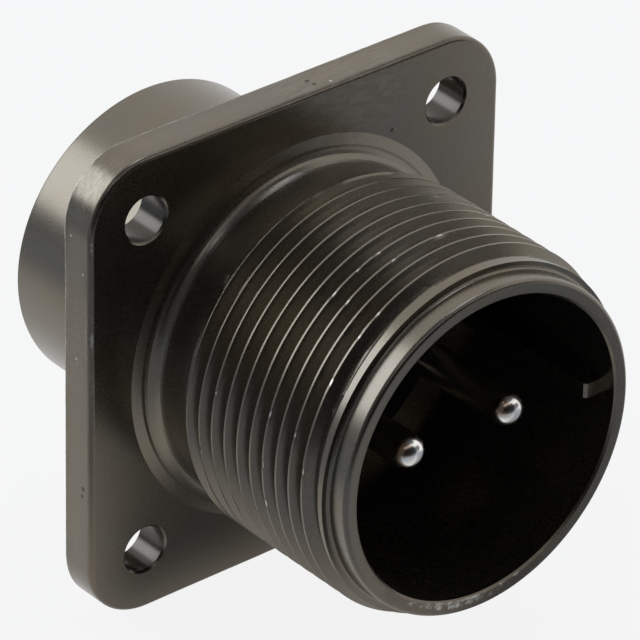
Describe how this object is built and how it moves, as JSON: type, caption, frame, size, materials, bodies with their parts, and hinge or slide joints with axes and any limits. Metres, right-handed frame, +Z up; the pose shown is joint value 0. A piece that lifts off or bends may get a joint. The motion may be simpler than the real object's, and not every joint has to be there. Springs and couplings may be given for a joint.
{
  "type": "circular connector receptacle",
  "caption": "Threaded circular box receptacle with a square mounting flange, open front socket, round pin contacts with solder cups and a plain rear barrel.",
  "frame": {"origin": "on the connector's axis at the rear face of the square flange, which is the face that lies on a panel", "axes": "+Y points to the open rear barrel, so the mating end faces -Y; +Z is up; the two contacts lie along X and the key is on the +X side"},
  "size_m": [0.0336, 0.0345, 0.0336],
  "materials": {
    "plated_shell": "dark grey-olive plating with a satin sheen, worn to bright metal on the edges",
    "insulator": "black moulded, matte",
    "contact_plating": "silver plated over copper alloy, satin and slightly tarnished",
    "spring_steel": "plain spring steel"
  },
  "bodies": {
    "root": {"shell": "plated_shell", "front_insulator": "insulator", "rear_insulator": "insulator", "contact_a": "contact_plating", "contact_b": "contact_plating", "retaining_ring": "spring_steel"}
  },
  "joints": []
}
